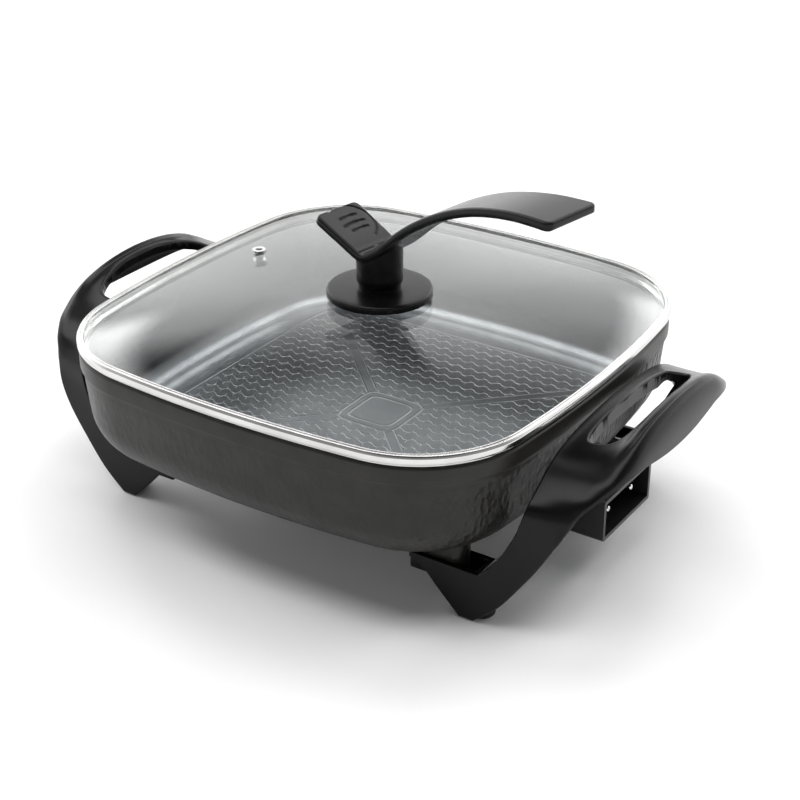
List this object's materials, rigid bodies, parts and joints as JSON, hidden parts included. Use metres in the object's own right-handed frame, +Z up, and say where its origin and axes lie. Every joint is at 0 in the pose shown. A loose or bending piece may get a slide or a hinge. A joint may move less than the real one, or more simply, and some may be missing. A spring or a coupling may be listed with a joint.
{
  "type": "electric skillet",
  "caption": "Square electric skillet: deep cast pan on two handle-and-leg frames, plug-in heat probe socket, domed glass lid with a stand-up lever knob.",
  "frame": {"origin": "centre of the footprint, at the height of the surface that the rubber feet stand on", "axes": "+Z up, +X from the left handle to the right handle, where the probe socket is; +Y from front to rear"},
  "size_m": [0.4152, 0.3152, 0.2264],
  "materials": {
    "pan_coating": "dark grey non-stick coating on cast aluminium",
    "element_steel": "dull steel tube",
    "ceramic": null,
    "pin_steel": "bright nickel plate",
    "shroud_black": "black moulded, satin",
    "screw_steel": "zinc plated",
    "phenolic_black": "black phenolic moulding, satin",
    "rubber_black": "matt black",
    "lid_glass": "clear tempered glass",
    "band_steel": "polished stainless steel",
    "knob_black": "black phenolic moulding, satin",
    "insert_brass": "turned",
    "silicone_grey": "translucent grey silicone"
  },
  "bodies": {
    "skillet": {"pan": "pan_coating", "heating_element": "element_steel", "terminal_insulators": "ceramic", "terminal_pins": "pin_steel", "socket_shroud": "shroud_black", "shroud_screws": "screw_steel", "right_handle_frame": "phenolic_black", "left_handle_frame": "phenolic_black", "frame_washers": "screw_steel", "frame_screws": "screw_steel", "left_front_foot": "rubber_black", "left_rear_foot": "rubber_black", "right_front_foot": "rubber_black", "right_rear_foot": "rubber_black", "foot_screws": "screw_steel"},
    "lid": {"lid_glass": "lid_glass", "lid_band": "band_steel", "steam_vent": "band_steel", "knob_base": "knob_black", "knob_handle": "knob_black", "knob_insert": "insert_brass", "knob_gaskets": "silicone_grey", "knob_washer": "screw_steel", "knob_screw": "screw_steel"}
  },
  "joints": [
    {"name": "lid_lift", "type": "slide", "parent": "skillet", "child": "lid", "axis": [0, 0, 1], "range_m": [0, 0.15]}
  ]
}
